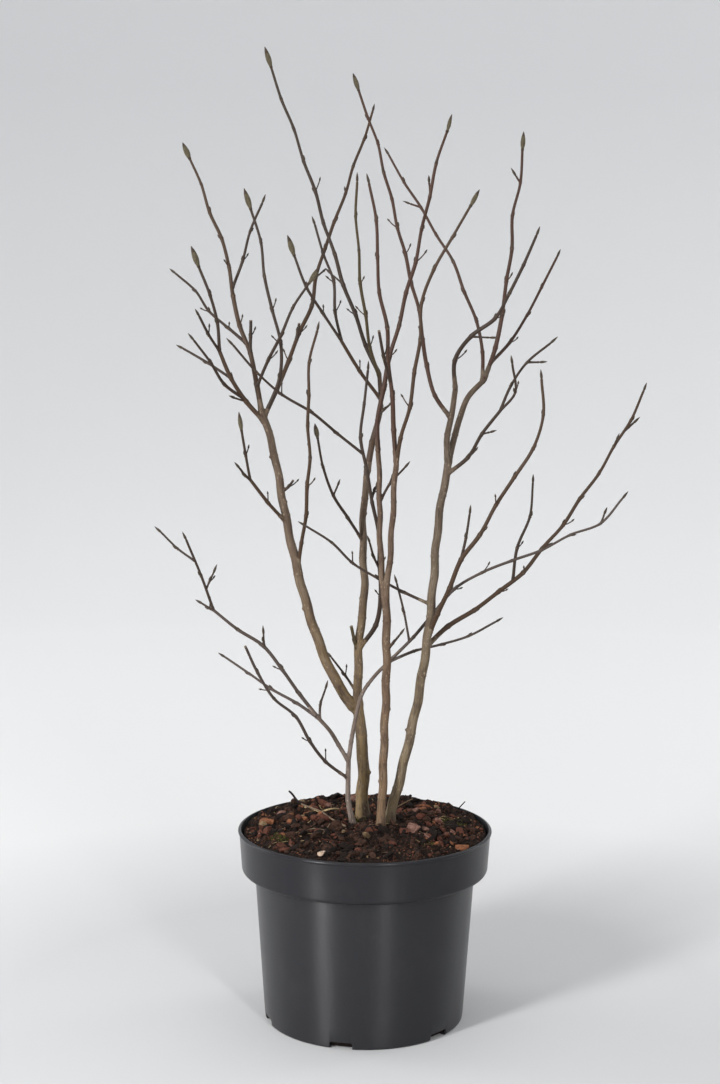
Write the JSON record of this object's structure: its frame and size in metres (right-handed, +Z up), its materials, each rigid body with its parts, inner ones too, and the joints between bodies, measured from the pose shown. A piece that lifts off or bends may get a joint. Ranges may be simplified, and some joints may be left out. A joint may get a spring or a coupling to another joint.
{
  "type": "potted magnolia shrub",
  "caption": "Young bare magnolia shrub in winter with several stems, long upright shoots and downy flower buds, standing in a round black nursery pot.",
  "frame": {"origin": "centre of the pot's flat underside, on the surface it stands on", "axes": "+Z up along the stems, the front of the plant faces -Y, +X to the right seen from the front"},
  "size_m": [0.5446, 0.319, 1.0731],
  "materials": {
    "pot": "black nursery plastic, satin with faint scuffs",
    "potting_mix": "moist bark and peat mix",
    "stem_bark": "smooth olive brown bark with fine ridges and pale pores",
    "bough_bark": "smooth grey brown bark",
    "twigs": "dark red brown twigs with downy grey green buds"
  },
  "bodies": {
    "root": {"bough_centre_left": "bough_bark", "bough_centre_right": "bough_bark", "bough_left": "bough_bark", "bough_low": "bough_bark", "bough_low_left": "bough_bark", "bough_middle": "bough_bark", "bough_right": "bough_bark", "bough_right_inner": "bough_bark", "pot": "pot", "potting_mix": "potting_mix", "stem_centre": "stem_bark", "stem_low": "stem_bark", "stem_main": "stem_bark", "stem_right": "stem_bark", "twig_centre_low": "twigs", "twig_centre_side": "twigs", "twig_crossing": "twigs", "twig_left_spur": "twigs", "twig_low_spur": "twigs", "twig_middle_low": "twigs", "twig_middle_stub": "twigs", "twigs_centre_arching": "twigs", "twigs_centre_front": "twigs", "twigs_centre_tall": "twigs", "twigs_left_inner": "twigs", "twigs_left_outer": "twigs", "twigs_left_side": "twigs", "twigs_left_straight": "twigs", "twigs_left_upper": "twigs", "twigs_low_back": "twigs", "twigs_low_front": "twigs", "twigs_low_outer": "twigs", "twigs_middle_side": "twigs", "twigs_middle_small": "twigs", "twigs_middle_top": "twigs", "twigs_right_crossing": "twigs", "twigs_right_front": "twigs", "twigs_right_inner": "twigs", "twigs_right_long": "twigs", "twigs_right_low": "twigs", "twigs_right_lowest": "twigs", "twigs_right_side": "twigs", "twigs_right_tall": "twigs", "twigs_right_upper": "twigs"}
  },
  "joints": []
}
